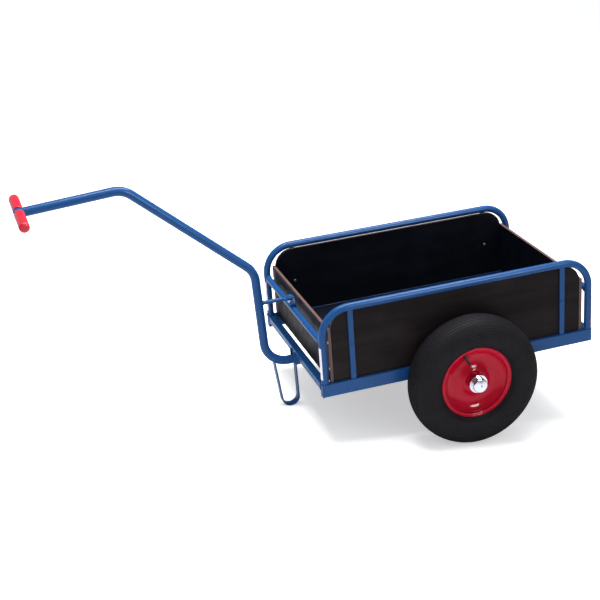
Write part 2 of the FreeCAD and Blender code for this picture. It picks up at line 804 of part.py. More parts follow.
def stand(solid_drawbar):
    """A flat bar bent into a loop and welded under the drawbar."""
    body = new_body("stand_blank")
    corners = stand_corners()
    spine = new_sketch(body, "XZ_Plane")
    bent_line(spine, corners, size.stand_bend)
    profile = new_sketch(body, "XY_Plane", corners[0][1])
    rectangle(profile, size.stand_bar_thickness, size.stand_bar_width, corners[0][0])
    pipe = body.newObject("PartDesign::AdditivePipe", "Pipe")
    pipe.Profile = (profile, [""])
    pipe.Spine = (spine, [""])
    node("stand_loop", cut("stand_loop", body, solid_drawbar))


# ---------------------------------------------------------------- axle and wheels
def mirrored(half):
    """A half outline of plain corners, followed by its mirror image the other way round."""
    return half + [(-across, up) for across, up in reversed(half)]


def axle():
    """The fixed axle, and the two notched lugs that hang it from the side rails."""
    body = new_body("axle")
    sketch = new_sketch(body, "XZ_Plane")
    circle(sketch, 0, 0, size.axle_diameter)
    pad(body, sketch, size.axle_length)
    node("axle", body, at(size.axle_x, 0, -size.axle_drop))
    plate_thickness = length(5)
    half_width, top, shoulder, low = 30, -14, -52, -66
    notch_half_width, notch_top = 16, -33
    left_half = [(-notch_half_width, notch_top), (-notch_half_width, top), (-half_width, top),
                 (-half_width, shoulder), (-notch_half_width, low)]
    corners = mirrored(left_half)
    inner_face = size.rail_spacing / 2 - size.rail_width / 2
    lug = plate("axle_plate", corners, plate_thickness, [(0, -size.axle_drop, size.axle_diameter)])
    places = [at(size.axle_x, side * (inner_face - plate_thickness / 2), 0) for side, _ in SIDES]
    node("axle_plates", copies("axle_plates", lug, places))


def tyre(name):
    """The outer case: two beads on the rim's seats, bulged sidewalls and a ribbed tread."""
    flange_edge = size.flange_half_spacing - 2.6
    flange_face = flange_edge - 2.7
    wall_foot = size.flange_half_spacing + 1
    bead_seat = size.bead_seat_radius + 0.3
    bead_heel, bead_toe = 22.7, 15
    bead_top = size.flange_radius + 1.3
    chamber_low, chamber_high = (16, 108), (27, 184)
    chamber_side, chamber_roof = 46.9, 63.7
    shoulder = (size.shoulder_half_width, size.shoulder_radius)
    crown, wall = size.crown_radius, size.sidewall_radius
    bead_edge, bead_back = size.flange_radius + 0.4, size.flange_radius - 3
    case = [(flange_face, bead_back), (flange_edge, bead_edge), (wall_foot, bead_top, wall),
            shoulder + (crown,), (0, size.wheel_radius, crown), (-shoulder[0], shoulder[1], wall),
            (-wall_foot, bead_top), (-flange_edge, bead_edge), (-flange_face, bead_back)]
    left_bead = [(-flange_face, bead_seat + 2.5), (-bead_heel, bead_seat), (-bead_toe, bead_seat)]
    chamber = [(-chamber_low[0], chamber_low[1], -chamber_side),
               (-chamber_high[0], chamber_high[1], -chamber_roof),
               (chamber_high[0], chamber_high[1], -chamber_side), chamber_low]
    right_bead = [(bead_toe, bead_seat), (bead_heel, bead_seat), (flange_face, bead_seat + 2.5)]
    body = turned(name + "_tyre", case + left_bead + chamber + right_bead)
    sketch = new_sketch(body, "YZ_Plane")
    half_floor, half_top = 1.1, 2.0
    for across in (-31, -21, -10.5, 0, 10.5, 21, 31):
        top = size.wheel_radius + 2
        floor = size.wheel_radius - size.groove_depth - length(across ** 2) / (2 * crown)
        outline(sketch, [(across - half_floor, floor), (across + half_floor, floor),
                         (across + half_top, top), (across - half_top, top)])
    groove = body.newObject("PartDesign::Groove", "Tread")
    groove.Profile = sketch
    groove.ReferenceAxis = (sketch, ["H_Axis"])
    groove.Angle = 360
    must_remove(groove)
    return body


def valve_bore(label, diameter, valve_place):
    """The cylinder that clears the valve's way through the rim and into the inner tube."""
    bore = doc.addObject("Part::Cylinder", label)
    bind(bore, "Radius", diameter / 2)
    bore.Height = 70
    bore.Placement = valve_place * at(0, 0, 0, Rotation(Vector(1, 0, 0), -90))
    return bore


def rim_barrel(name, valve_place):
    """The rolled drop-centre barrel that carries the tyre, with a hole for the valve."""
    well, seat, flange, sheet = size.well_radius, size.bead_seat_radius, size.flange_radius, size.rim_sheet
    face, half_well = size.flange_half_spacing, size.well_half_width
    outside = [(face, flange), (face - 2.6, flange), (face - 5, flange - 3), (face - 5, seat + 2.5),
               (face - 7, seat), (half_well + 3, seat), (half_well, well)]
    inside = [(half_well + 1.4, well - sheet), (half_well + 4.4, seat - sheet), (face - 6, seat - sheet),
              (face - 3, seat + 1.7), (face - 3, flange - 3.8), (face - 1.6, flange - sheet),
              (face, flange - sheet)]
    left_inside = [(-across, radius) for across, radius in reversed(inside)]
    blank = turned(name + "_rim_blank", mirrored(outside) + left_inside + inside)
    hole = valve_bore(name + "_valve_hole", size.valve_diameter, valve_place)
    return cut(name + "_rim_barrel", blank, hole)


def wheel_disc(name, valve_place):
    """A pressed sheet disc: a flat boss round the hub, then one smooth bowl out to the barrel's seat."""
    hub, sheet = size.hub_diameter / 2, size.disc_sheet
    face, edge, bend = size.boss_face, size.boss_radius, size.boss_bend
    bowl, middle = size.bowl_radius, size.bowl_middle_radius
    inner_bend, outer_bowl = bend - sheet, bowl + sheet
    slope = math.radians(size.bowl_slope_degrees.value)
    sine, cosine = math.sin(slope), math.cos(slope)
    straight = (middle - bowl * sine - edge - bend * sine) / cosine
    bend_centre = face - bend
    bowl_centre = bend_centre + (bend + bowl) * cosine - straight * sine
    reach = size.bead_seat_radius - size.rim_sheet - size.weld_gap - middle
    rim_sine = reach.value / outer_bowl.value
    rim_cosine = math.sqrt(1 - rim_sine ** 2)
    front = [(face, hub), (face, edge, bend), (bend_centre + bend * cosine, edge + bend * sine),
             (bowl_centre - bowl * cosine, middle - bowl * sine, -bowl),
             (bowl_centre - bowl * rim_cosine, middle + bowl * rim_sine)]
    back = [(bowl_centre - outer_bowl * rim_cosine, middle + outer_bowl * rim_sine, outer_bowl),
            (bowl_centre - outer_bowl * cosine, middle - outer_bowl * sine),
            (bend_centre + inner_bend * cosine, edge + inner_bend * sine, -inner_bend),
            (face - sheet, edge), (face - sheet, hub)]
    blank = turned(name + "_disc_blank", front + back)
    notch = valve_bore(name + "_disc_hole", size.valve_diameter + size.valve_clearance, valve_place)
    return cut(name + "_wheel_disc", blank, notch)


def polar(body, feature):
    """Repeat a feature round the body's y axis, once for each roller."""
    pattern = body.newObject("PartDesign::PolarPattern", "PolarPattern")
    pattern.Originals = [feature]
    axis = next(item for item in body.Origin.OriginFeatures if item.Role == "Y_Axis")
    pattern.Axis = (axis, [""])
    pattern.Angle = 360
    pattern.Occurrences = int(size.roller_count.value)
    bind(pattern, "Occurrences", size.roller_count)
    body.Tip = pattern


def bearing(name):
    """A roller bearing straight on the axle: a slotted sleeve and its ring of rollers."""
    pitch = (size.axle_diameter + size.hub_bore) / 4
    half_sleeve = 1.9
    reach = size.hub_half_length - 1
    roller_length = 2 * size.hub_half_length - 8
    cage = turned(name + "_bearing_cage", [(-reach, pitch - half_sleeve), (-reach, pitch + half_sleeve),
                                           (reach, pitch + half_sleeve), (reach, pitch - half_sleeve)])
    slot = new_sketch(cage, "XZ_Plane")
    circle(slot, pitch, 0, size.roller_diameter + 0.4)
    polar(cage, pocket(cage, slot, roller_length + 0.6))
    rollers = new_body(name + "_bearing_rollers")
    sketch = new_sketch(rollers, "XZ_Plane")
    circle(sketch, pitch, 0, size.roller_diameter)
    polar(rollers, pad(rollers, sketch, roller_length))
    return cage, rollers


def wheel_place(side):
    turn = Rotation() if side == RIGHT else Rotation(Vector(0, 0, 1), 180)
    return at(size.axle_x, side * size.track / 2, -size.axle_drop, turn)


def valve_line():
    """The placement of the valve in its wheel: its own y runs from inside the tube out to the tip."""
    angle = math.radians(size.valve_angle_degrees.value)
    outward = Vector(math.sin(angle), 0, math.cos(angle))
    lean = 32 / 38
    root_radius = 121
    tip_radius = size.valve_tip_radius.value
    tip_offset = size.valve_tip_offset.value
    tip = outward * tip_radius + Vector(0, tip_offset, 0)
    root = outward * root_radius + Vector(0, tip_offset - (root_radius - tip_radius) * lean, 0)
    return Placement(root, Rotation(Vector(0, 1, 0), tip - root)), (tip - root).Length


def inner_tube(name, valve_place):
    body = new_body(name + "_tube_blank")
    sketch = new_sketch(body, "YZ_Plane")
    ring(sketch, 0, size.air_chamber_radius, size.inner_tube_diameter, 2)
    revolution = body.newObject("PartDesign::Revolution", "Revolution")
    revolution.Profile = sketch
    revolution.ReferenceAxis = (sketch, ["H_Axis"])
    revolution.Angle = 360
    return cut(name + "_inner_tube", body, valve_bore(name + "_tube_hole", size.valve_diameter, valve_place))


def wheel(side, name):
    """One wheel, drawn with its outboard face towards its own +y and turned for the left side."""
    place = wheel_place(side)
    valve_place, valve_length = valve_line()
    cap_start = valve_length - 6
    rim_exit = valve_length - 24.5
    stem = size.valve_diameter / 2
    node(name + "_tyre", tyre(name), place)
    node(name + "_inner_tube", inner_tube(name, valve_place), place)
    valve = turned(name + "_valve_stem", [(0, 0), (0, stem), (rim_exit, stem), (rim_exit + 2, 5.6),
                                          (rim_exit + 5, 5.6), (rim_exit + 7, 4), (cap_start, 3.6),
                                          (cap_start, 0)])
    node(name + "_valve_stem", valve, place * valve_place)
    cap_radius, cap_height, cap_edge = 3.9, 9.5, 1.5
    cap = turned(name + "_valve_cap", [(0, 0), (0, cap_radius),
                                       (cap_height - cap_edge, cap_radius, -cap_edge),
                                       (cap_height, cap_radius - cap_edge), (cap_height, 0)])
    node(name + "_valve_cap", cap, place * valve_place * at(0, cap_start, 0))
    node(name + "_rim_barrel", rim_barrel(name, valve_place), place)
    node(name + "_wheel_disc", wheel_disc(name, valve_place), place)
    reach = size.hub_half_length
    hub = turned(name + "_hub_tube", [(-reach, size.hub_bore / 2), (-reach, size.hub_diameter / 2),
                                      (reach, size.hub_diameter / 2), (reach, size.hub_bore / 2)])
    node(name + "_hub_tube", hub, place)
    cage, rollers = bearing(name)
    node(name + "_bearing_cage", cage, place)
    node(name + "_bearing_rollers", rollers, place)


def axle_ends():
    """What keeps the wheels on the axle: a collar inboard, a washer and a pressed cap outboard."""
    places = [wheel_place(side) for side, _ in SIDES]
    shaft = size.axle_diameter / 2
    rail_face = size.track / 2 - size.rail_spacing / 2 - size.rail_width / 2
    washer_face = size.hub_half_length + 0.3
    collar = turned("axle_collar", [(-rail_face, shaft), (-rail_face, shaft + 5),
                                    (-washer_face, shaft + 5), (-washer_face, shaft)])
    node("axle_collars", copies("axle_collars", collar, places))
    cap_face = washer_face + 2.5
    washer_radius = size.hub_washer_diameter / 2
    washer = turned("hub_washer", [(washer_face, shaft), (washer_face, washer_radius),
                                   (cap_face, washer_radius), (cap_face, shaft)])
    node("hub_washers", copies("hub_washers", washer, places))
    cap_radius = size.hub_cap_diameter / 2
    shell, edge = 1, 4
    side_end, dome_start, pole = cap_face + 13, cap_face + 16.4, cap_face + 19
    dome = dome_radius(cap_radius - edge, pole - dome_start)
    cap = turned("hub_cap", [(cap_face, cap_radius - shell), (cap_face, cap_radius),
                             (side_end, cap_radius, -edge), (dome_start, cap_radius - edge, -dome),
                             (pole, 0), (pole - shell, 0), (dome_start - shell, cap_radius - edge - 0.4),
                             (side_end - 0.4, cap_radius - shell)])
    node("hub_caps", copies("hub_caps", cap, places))


# ---------------------------------------------------------------- stance
def bend_centre(before, corner, after, radius):
    """The centre of the bend that rounds a corner of a bent line."""
    way_in, way_out = (corner - before).normalize(), (after - corner).normalize()
    trim = radius * math.tan(way_in.getAngle(way_out) / 2)
    inward = (way_out - way_in).normalize()
    return corner + inward * math.hypot(trim, radius)


def parked_stance():
    """The placement that turns the bed frame about y until both tyres and the stand touch z = 0."""
    hub = Vector(size.axle_x.value, 0, -size.axle_drop.value)
    corners = [Vector(x.value, 0, z.value) for x, z in stand_corners()]
    foot = bend_centre(*corners[:3], size.stand_bend.value)
    foot_radius = size.stand_bend.value + size.stand_bar_thickness.value / 2
    span = hub - foot
    reach = math.hypot(span.x, span.z)
    pitch = math.asin((size.wheel_radius.value - foot_radius) / reach) - math.atan2(span.z, span.x)
    turn = Rotation(Vector(0, 1, 0), -math.degrees(pitch))
    grip = turn.multVec(Vector(size.handle_x.value, 0, size.handle_z.value))
    tail = turn.multVec(Vector(size.bed_length.value + size.rail_overhang.value, 0, -size.rail_height.value))
    middle = (grip.x - size.grip_diameter.value / 2 + tail.x) / 2
    lift = size.wheel_radius.value - turn.multVec(hub).z
    return Placement(Vector(-middle, 0, lift), turn)


# ---------------------------------------------------------------- build, check and export
side_rails()
cross_members()
hoops()
uprights()
cross_tubes()
reflector_tapes()
boards()
board_fixings()
drawbar()
handle()
drawbar_foot_joint()
stand(brace())
axle()
axle_ends()
for wheel_side, wheel_name in SIDES:
    wheel(wheel_side, wheel_name)

stance = parked_stance()
for _, piece, bed_place in nodes:
    piece.Placement = stance * bed_place
doc.recompute()

for item in doc.Objects:
    if {"Invalid", "Error"} & set(item.State):
        raise RuntimeError("%s failed to compute: %s" % (item.Label, item.State))
os.makedirs("parts", exist_ok=True)
for node_name, piece, _ in nodes:
    if piece.Shape.isNull() or not piece.Shape.isValid() or not piece.Shape.Solids:
        raise RuntimeError("%s has no valid solid" % node_name)
    piece.Shape.exportStep("parts/%s.step" % node_name)
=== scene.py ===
"""The looks of the two-wheel hand cart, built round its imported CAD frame.

Places are worked out in the bed frame (x from the front legs to the tail, y across, z up from the top
of the side rails) and are turned into the row frame by the stance. The stance is read off the CAD
wheels and the slope of the floor's mount in the record.
"""
import json
import math
import random

import bmesh
import bpy
from mathutils import Matrix, Vector


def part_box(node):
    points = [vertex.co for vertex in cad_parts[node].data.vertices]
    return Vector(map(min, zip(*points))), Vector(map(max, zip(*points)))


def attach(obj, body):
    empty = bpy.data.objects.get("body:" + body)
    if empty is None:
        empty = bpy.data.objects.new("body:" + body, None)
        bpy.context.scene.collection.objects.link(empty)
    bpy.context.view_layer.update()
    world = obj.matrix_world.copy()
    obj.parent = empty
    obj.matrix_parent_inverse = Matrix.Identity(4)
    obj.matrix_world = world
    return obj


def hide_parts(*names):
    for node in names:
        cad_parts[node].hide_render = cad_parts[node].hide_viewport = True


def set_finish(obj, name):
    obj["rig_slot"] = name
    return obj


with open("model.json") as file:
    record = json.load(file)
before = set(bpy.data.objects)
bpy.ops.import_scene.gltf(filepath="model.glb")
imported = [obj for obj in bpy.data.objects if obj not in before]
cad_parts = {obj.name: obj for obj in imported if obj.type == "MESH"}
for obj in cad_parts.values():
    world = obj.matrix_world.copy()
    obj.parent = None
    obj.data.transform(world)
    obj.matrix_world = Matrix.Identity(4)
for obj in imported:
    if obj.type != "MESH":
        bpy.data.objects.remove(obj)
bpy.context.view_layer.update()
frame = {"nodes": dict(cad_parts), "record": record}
nodes = frame["nodes"]

MM = 0.001
LEFT, RIGHT = -1, 1
SIDES = ((LEFT, "left"), (RIGHT, "right"))

# Sizes of the cart, in metres.
BED_LENGTH = 845 * MM
HOOP_HALF = 275 * MM            # from the middle to a hoop's centre line
HOOP_RISE = 228 * MM
HOOP_BEND = 84 * MM
TUBE_RADIUS = 11 * MM
TUBE_WALL = 2 * MM
RAIL_HALF = 272 * MM            # from the middle to a side rail's centre line
RAIL_WIDTH = 20 * MM
END_RAIL_HALF = 11 * MM
CROSS_RADIUS = 10 * MM
CROSS_RISE = 129.5 * MM
UPRIGHT_INSET = 87.5 * MM
UPRIGHT_HALF = 7.5 * MM
BEARER_PITCH = 210 * MM
BEARER_HALF = 15 * MM
AXLE_X = 434.5 * MM
AXLE_DROP = 50 * MM
AXLE_RADIUS = 10 * MM
AXLE_PLATE_HALF = 30 * MM
DRAWBAR_RADIUS = 13.5 * MM
DRAWBAR_WALL = 2 * MM
DRAWBAR_BEND = 72 * MM
DRAWBAR_CORNERS = ((22 * MM, -36 * MM), (-98 * MM, -36 * MM), (-110 * MM, 271.6 * MM),
                   (-465 * MM, 589 * MM), (-769.3 * MM, 570.7 * MM))

# The bed's slope while the cart is parked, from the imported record.
floor_axis = frame["record"]["mounts"][0]["axis"]
PITCH = math.atan2(-floor_axis[0], floor_axis[2])


# ---------------------------------------------------------------- frames
def hub_centre(name):
    low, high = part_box(name + "_tyre")
    return (low + high) / 2


HUB = {name: hub_centre(name) for _, name in SIDES}
STANCE_TURN = Matrix.Rotation(-PITCH, 4, "Y")
STANCE_SHIFT = Vector((HUB["left"].x, 0, HUB["left"].z)) - STANCE_TURN @ Vector((AXLE_X, 0, -AXLE_DROP))
STANCE = Matrix.Translation(STANCE_SHIFT) @ STANCE_TURN


def row(x, y, z):
    """A point of the bed frame, in the row frame."""
    return STANCE @ Vector((x, y, z))


def row_direction(x, y, z):
    return (STANCE_TURN @ Vector((x, y, z))).normalized()


# ---------------------------------------------------------------- material helpers
class Shader:
    """A node material under construction, with one Principled shader."""

    def __init__(self, name):
        self.material = bpy.data.materials.new(name)
        self.material.use_nodes = True
        self.tree = self.material.node_tree
        self.surface = self.tree.nodes["Principled BSDF"]
        self.place = self.add("ShaderNodeTexCoord").outputs["Object"]

    def add(self, kind, **settings):
        node = self.tree.nodes.new(kind)
        for key, value in settings.items():
            setattr(node, key, value)
        return node

    def feed(self, socket, value):
        """Give a socket a plain value, or link another node's output to it."""
        if isinstance(value, bpy.types.NodeSocket):
            self.tree.links.new(value, socket)
        else:
            socket.default_value = value

    def set(self, **values):
        for name, value in values.items():
            self.feed(self.surface.inputs[name.replace("_", " ")], value)

    def noise(self, scale, detail=4.0, roughness=0.55, place=None):
        node = self.add("ShaderNodeTexNoise")
        self.feed(node.inputs["Vector"], place or self.place)
        node.inputs["Scale"].default_value = scale
        node.inputs["Detail"].default_value = detail
        node.inputs["Roughness"].default_value = roughness
        return node.outputs["Fac"]

    def spots(self, scale):
        node = self.add("ShaderNodeTexVoronoi")
        self.feed(node.inputs["Vector"], self.place)
        node.inputs["Scale"].default_value = scale
        return node.outputs["Distance"]

    def stretched(self, scale, turn=(0, 0, 0)):
        """The object's own place, turned and then stretched."""
        turned = self.add("ShaderNodeMapping")
        self.feed(turned.inputs["Vector"], self.place)
        turned.inputs["Rotation"].default_value = turn
        scaled = self.add("ShaderNodeMapping")
        self.feed(scaled.inputs["Vector"], turned.outputs["Vector"])
        scaled.inputs["Scale"].default_value = scale
        return scaled.outputs["Vector"]

    def ramp(self, value, low, high, low_at=0.0, high_at=1.0):
        """A value turned into a colour, or into a number when low and high are numbers."""
        if isinstance(low, tuple):
            node = self.add("ShaderNodeValToRGB")
            self.feed(node.inputs["Fac"], value)
            node.color_ramp.elements[0].position = low_at
            node.color_ramp.elements[1].position = high_at
            node.color_ramp.elements[0].color = low + (1,)
            node.color_ramp.elements[1].color = high + (1,)
            return node.outputs["Color"]
        node = self.add("ShaderNodeMapRange")
        self.feed(node.inputs["Value"], value)
        node.inputs["From Min"].default_value = low_at
        node.inputs["From Max"].default_value = high_at
        node.inputs["To Min"].default_value = low
        node.inputs["To Max"].default_value = high
        return node.outputs["Result"]

    def blend(self, share, first, second):
        node = self.add("ShaderNodeMix", data_type="RGBA")
        self.feed(node.inputs["Factor"], share)
        self.feed(node.inputs[6], first)
        self.feed(node.inputs[7], second)
        return node.outputs[2]

    def bump(self, height, distance, strength=1.0, under=None):
        """Relief of the given height in metres, on top of any relief already there."""
        node = self.add("ShaderNodeBump")
        self.feed(node.inputs["Height"], height)
        node.inputs["Distance"].default_value = distance
        node.inputs["Strength"].default_value = strength
        if under is not None:
            self.feed(node.inputs["Normal"], under)
        self.feed(self.surface.inputs["Normal"], node.outputs["Normal"])
        return node.outputs["Normal"]

    def edges(self):
        """About 0.5 on flat surfaces, and higher along outside edges."""
        return self.add("ShaderNodeNewGeometry").outputs["Pointiness"]


# ---------------------------------------------------------------- materials
def powder_coat():
    """Blue powder coat with a fine orange peel and a slow drift in tone and gloss."""
    shader = Shader("frame_paint")
    tone = shader.ramp(shader.noise(9, 3), (0.0095, 0.060, 0.195), (0.0115, 0.068, 0.215), 0.3, 0.7)
    shader.set(Base_Color=tone)
    shader.set(Roughness=shader.ramp(shader.noise(60, 5), 0.27, 0.32, 0.3, 0.7))
    shader.set(Specular_IOR_Level=0.14, Coat_Weight=0.08, Coat_Roughness=0.14)
    shader.bump(shader.noise(900, 2), 0.00004, 0.3)
    return shader.material


def rim_paint():
    """Gloss red enamel on pressed steel, with the slight unevenness of a sprayed coat."""
    shader = Shader("rim_paint")
    tone = shader.ramp(shader.noise(14, 3), (0.375, 0.0020, 0.016), (0.415, 0.0028, 0.020), 0.3, 0.7)
    shader.set(Base_Color=tone)
    shader.set(Roughness=shader.ramp(shader.noise(90, 4), 0.10, 0.16, 0.3, 0.7))
    shader.set(Specular_IOR_Level=0.08, Coat_Weight=0.26, Coat_Roughness=0.03)
    shader.bump(shader.noise(420, 2), 0.00005, 0.4)
    return shader.material


def plywood_film(name, dark, pale):
    """Phenolic film over birch ply: a fine wire-mesh texture, faint veneer figure and rubbed patches."""
    shader = Shader(name)
    figure = shader.noise(1.0, 6, 0.6, shader.stretched((3, 60, 22), (0, PITCH, 0)))
    tone = shader.ramp(figure, dark, pale, 0.35, 0.7)
    rubbed = shader.ramp(shader.noise(7, 5), 0.0, 0.30, 0.50, 0.72)
    shader.set(Base_Color=shader.blend(rubbed, tone, tuple(v * 1.7 for v in pale) + (1,)))
    shader.set(Roughness=shader.ramp(shader.noise(25, 4), 0.34, 0.50, 0.3, 0.7))
    shader.set(Specular_IOR_Level=0.07)
    relief = shader.bump(shader.spots(700), 0.00010, 0.35)
    shader.bump(figure, 0.00012, 0.5, relief)
    return shader.material


def sealed_edge():
    """The boards' edges, sealed with red-brown paint through which the plies still show."""
    shader = Shader("sealed_edge")
    grain = shader.noise(1.0, 5, 0.6, shader.stretched((420, 420, 420)))
    tone = shader.ramp(grain, (0.070, 0.034, 0.030), (0.135, 0.068, 0.062), 0.3, 0.7)
    shader.set(Base_Color=tone)
    shader.set(Roughness=shader.ramp(grain, 0.5, 0.7, 0.3, 0.7))
    shader.bump(grain, 0.0002, 0.6)
    return shader.material


def tyre_rubber():
    """Moulded black rubber with a faint bloom, painted lighter grey along the ribs and sharp ridges as a
    highlight.
    """
    shader = Shader("tyre_rubber")
    bloom = shader.ramp(shader.noise(16, 5), (0.0080, 0.0072, 0.0092), (0.0120, 0.0108, 0.0132),
                        0.3, 0.75)
    # Painted highlight: lighter grey wherever the surface is pointed, along the ribs and the groove
    # edges.
    ridge_highlight = shader.ramp(shader.edges(), 0.0, 0.5, 0.51, 0.58)
    shader.set(Base_Color=shader.blend(ridge_highlight, bloom, (0.021, 0.019, 0.023, 1)))
    shader.set(Roughness=shader.ramp(shader.noise(120, 5), 0.50, 0.68, 0.3, 0.7))
    shader.set(Specular_IOR_Level=0.08)
    relief = shader.bump(shader.noise(1500, 3), 0.00008, 0.5)
    shader.bump(shader.noise(55, 3), 0.0003, 0.25, relief)
    return shader.material


def plain_rubber():
    shader = Shader("soft_rubber")
    tone = shader.ramp(shader.noise(200, 4), (0.006, 0.006, 0.006), (0.014, 0.013, 0.013))
    shader.set(Base_Color=tone)
    shader.set(Roughness=shader.ramp(shader.noise(300, 4), 0.42, 0.6))
    shader.bump(shader.noise(1800, 2), 0.00006, 0.5)
    return shader.material


def black_plastic():
    shader = Shader("black_plastic")
    tone = shader.ramp(shader.noise(120, 3), (0.008, 0.008, 0.009), (0.014, 0.014, 0.015))
    shader.set(Base_Color=tone)
    shader.set(Roughness=shader.ramp(shader.noise(400, 3), 0.32, 0.45))
    shader.bump(shader.spots(2400), 0.00004, 0.5)
    return shader.material


def grip_plastic():
    """Dipped PVC: saturated red with a milky sheen and the soft orange peel of a dipped skin."""
    shader = Shader("grip_plastic")
    tone = shader.ramp(shader.noise(40, 3), (0.50, 0.006, 0.022), (0.58, 0.012, 0.035), 0.3, 0.7)
    shader.set(Base_Color=tone)
    shader.set(Roughness=shader.ramp(shader.noise(110, 4), 0.30, 0.42, 0.3, 0.7))
    shader.set(Sheen_Weight=0.16, Sheen_Roughness=0.4, Sheen_Tint=(1.0, 0.62, 0.70, 1))
    shader.set(Subsurface_Weight=0.08, Subsurface_Radius=(0.004, 0.001, 0.001))
    relief = shader.bump(shader.noise(330, 3), 0.00016, 0.5)
    shader.bump(shader.noise(1400, 2), 0.00005, 0.5, relief)
    return shader.material


def metal(name, tint, low, high, brushed=0.0):
    """Bare or plated metal; brushed is the height of fine turning lines."""
    shader = Shader(name)
    cloud = shader.noise(45, 5)
    dull = tuple(v * 0.82 for v in tint)
    shader.set(Base_Color=shader.ramp(cloud, dull, tint, 0.3, 0.7), Metallic=1.0)
    shader.set(Roughness=shader.ramp(shader.noise(260, 4), low, high, 0.3, 0.7))
    if brushed:
        shader.bump(shader.noise(1.0, 3, 0.6, shader.stretched((2600, 300, 2600))), brushed, 0.5)
    else:
        shader.bump(shader.noise(500, 2), 0.00002, 0.4)
    return shader.material


def reflective_tape(name, tint):
    """Retroreflective tape: a pale honeycomb of cells under a clear glossy film."""
    shader = Shader(name)
    cells = shader.ramp(shader.spots(320), 1.0, 0.0, 0.25, 0.6)
    shader.set(Base_Color=shader.blend(cells, tuple(v * 0.78 for v in tint) + (1,), tint + (1,)))
    shader.set(Roughness=shader.ramp(cells, 0.45, 0.25), Coat_Weight=0.6, Coat_Roughness=0.08)
    shader.bump(cells, 0.00005, 0.5)
    return shader.material


PAINT = powder_coat()
RED = rim_paint()
FILM_OUTSIDE = plywood_film("ply_film_outside", (0.0085, 0.0062, 0.0072), (0.0175, 0.0135, 0.0140))
# The inside faces take a darker, bluer copy of the film: painted shade for the inside of the box.
FILM_INSIDE_SHADED = plywood_film("ply_film_inside_shaded", (0.0024, 0.0034, 0.0070), (0.0052, 0.0068, 0.0118))
EDGE = sealed_edge()
RUBBER = tyre_rubber()
SOFT_RUBBER = plain_rubber()
BLACK = black_plastic()
GRIP = grip_plastic()
ZINC = metal("zinc_fastener", (0.72, 0.74, 0.77), 0.22, 0.38)
BRIGHT = metal("bright_steel", (0.60, 0.60, 0.62), 0.25, 0.38, 0.00004)
CHROME = metal("hub_chrome", (0.83, 0.85, 0.88), 0.07, 0.15)
TAPE_WHITE = reflective_tape("reflector_white", (0.84, 0.84, 0.90))
TAPE_RED = reflective_tape("reflector_red", (0.70, 0.020, 0.030))

SLOT_MATERIALS = {
    "frame_paint": PAINT, "rim_paint": RED, "film_plywood": FILM_OUTSIDE,
    "tyre_rubber": RUBBER, "soft_rubber": SOFT_RUBBER, "black_plastic": BLACK,
    "grip_plastic": GRIP, "zinc_fastener": ZINC, "bright_steel": BRIGHT,
    "hub_chrome": CHROME, "reflector_white": TAPE_WHITE, "reflector_red": TAPE_RED,
}


# ---------------------------------------------------------------- mesh helpers
def finish_piece(name, mesh, material, slot, body):
    """Hand a mesh over as a named piece that rides on a CAD body."""
    piece = bpy.data.objects.new(name, mesh)
    bpy.context.scene.collection.objects.link(piece)
    mesh.materials.append(material)
    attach(piece, body)
    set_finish(piece, slot)
    return piece


def mesh_from(name, build, smooth_degrees=35):
    """A mesh filled in by build(bm), smooth except along edges sharper than smooth_degrees."""
    bm = bmesh.new()
    build(bm)
    bmesh.ops.remove_doubles(bm, verts=bm.verts, dist=1e-6)
    bmesh.ops.recalc_face_normals(bm, faces=bm.faces)
    for face in bm.faces:
        face.smooth = True
    limit = math.radians(smooth_degrees)
    for edge in bm.edges:
        edge.smooth = len(edge.link_faces) != 2 or edge.calc_face_angle(0) < limit
    mesh = bpy.data.meshes.new(name)
    bm.to_mesh(mesh)
    bm.free()
    return mesh


def lathe(bm, profile, place, steps):
    """Turn a closed profile of (along, radius) about the place's y axis."""
    rings = []
    for step in range(steps):
        angle = 2 * math.pi * step / steps
        ring = []
        for along, radius in profile:
            point = Vector((radius * math.sin(angle), along, radius * math.cos(angle)))
            ring.append(bm.verts.new(place @ point))
        rings.append(ring)
    count = len(profile)
    for step in range(steps):
        this, following = rings[step], rings[(step + 1) % steps]
        for index in range(count):
            after = (index + 1) % count
            corners = (this[index], this[after], following[after], following[index])
            bm.faces.new(corners)


def arc_points(centre, radius, start, end, count):
    """Points on an arc of a profile, from start to end in degrees."""
    points = []
    for index in range(count + 1):
        angle = math.radians(start + (end - start) * index / count)
        points.append((centre[0] + radius * math.cos(angle), centre[1] + radius * math.sin(angle)))
    return points


def rounded(corners, radius, count):
    """A closed profile with every corner softened by a small arc."""
    result = []
    total = len(corners)
    for index, corner in enumerate(corners):
        here = Vector(corner)
        before = Vector(corners[index - 1]) - here
        after = Vector(corners[(index + 1) % total]) - here
        reach = min(radius, before.length * 0.45, after.length * 0.45)
        start = here + before.normalized() * reach
        end = here + after.normalized() * reach
        for step in range(count + 1):
            share = step / count
            point = (1 - share) ** 2 * start + 2 * share * (1 - share) * here + share ** 2 * end
            result.append((point.x, point.y))
    return result


def rings_along(bm, points, radii, sides, closed=False):
    """A ring of vertices square to the path at each point, turned as little as possible."""
    rings = []
    total = len(points)
    side = None
    for index, point in enumerate(points):
        ahead = points[(index + 1) % total] if closed or index < total - 1 else point
        behind = points[index - 1] if closed or index > 0 else point
        way = (ahead - behind).normalized()
        side = way.orthogonal() if side is None else side - way * side.dot(way)
        side.normalize()
        other = way.cross(side)
        ring = []
        for step in range(sides):
            angle = 2 * math.pi * step / sides
            offset = side * math.cos(angle) + other * math.sin(angle)
            ring.append(bm.verts.new(point + offset * radii[index]))
        rings.append(ring)
    return rings


def skin(bm, this, following, shift=0):
    """Faces between two rings."""
    sides = len(this)
    for step in range(sides):
        after = (step + 1) % sides
        bm.faces.new((this[step], this[after], following[(after + shift) % sides],
                      following[(step + shift) % sides]))


